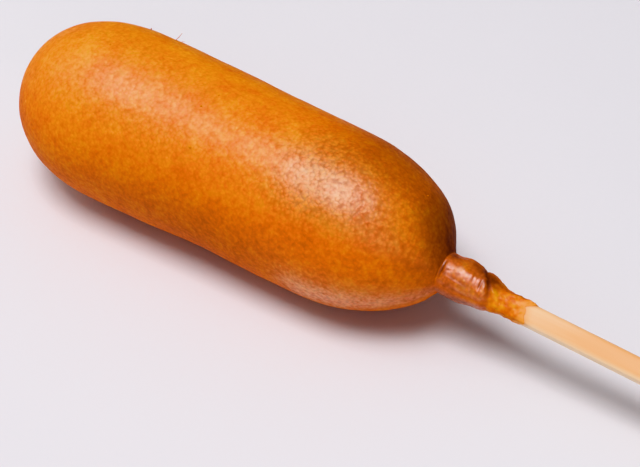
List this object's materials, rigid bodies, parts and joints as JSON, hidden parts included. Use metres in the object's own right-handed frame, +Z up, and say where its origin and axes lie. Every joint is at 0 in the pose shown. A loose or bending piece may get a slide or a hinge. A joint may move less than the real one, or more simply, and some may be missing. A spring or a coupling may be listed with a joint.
{
  "type": "corn dog",
  "caption": "Corn dog lying on its side: a smooth fried corn batter coat with a collar creeping down its squared wooden stick.",
  "frame": {"origin": "on the surface the corn dog lies on, under the middle of its bounding box", "axes": "+X from the round tip towards the free end of the stick, +Z up from the surface it lies on"},
  "size_m": [0.1802, 0.042, 0.0416],
  "materials": {
    "fried_batter": null,
    "stick_wood": "bare pale wood, sanded"
  },
  "bodies": {
    "root": {"batter_coat": "fried_batter", "wooden_stick": "stick_wood"}
  },
  "joints": []
}
